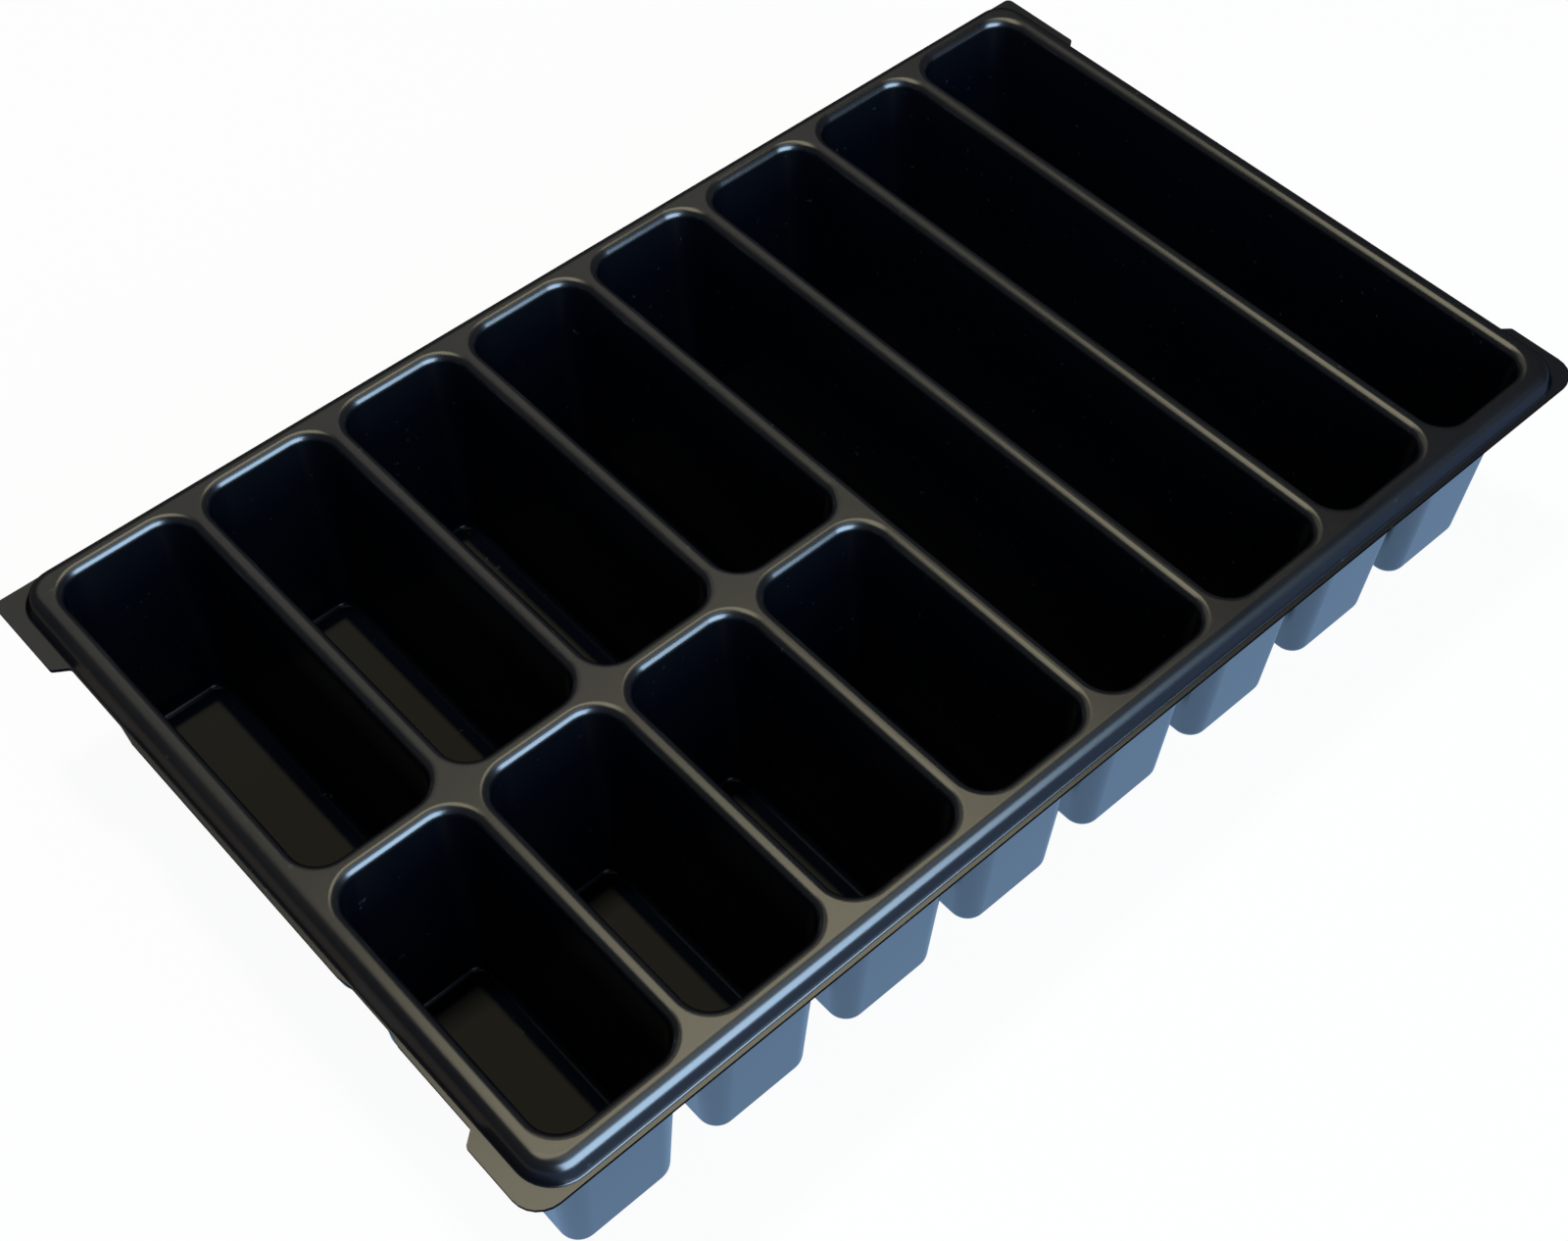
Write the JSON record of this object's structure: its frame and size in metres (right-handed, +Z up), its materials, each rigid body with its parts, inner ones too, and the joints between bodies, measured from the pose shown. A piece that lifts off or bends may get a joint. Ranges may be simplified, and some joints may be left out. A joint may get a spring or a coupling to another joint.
{
  "type": "thermoformed plastic tray",
  "caption": "Black one-piece formed tray with long and short deep cells, rounded dividers, a rolled rim with trimmed lip and corner tabs, for sorting small parts.",
  "frame": {"origin": "middle of the overall footprint, on the plane that the undersides of the wells stand on", "axes": "+X along the row of columns, with the divided columns at -X; +Y to the rear, where the longer of the divided cells are; +Z up, out of the cells"},
  "size_m": [0.3974, 0.2392, 0.0745],
  "materials": {
    "black_plastic": "satin gloss black sheet plastic, formed"
  },
  "bodies": {
    "root": {"tray": "black_plastic"}
  },
  "joints": []
}
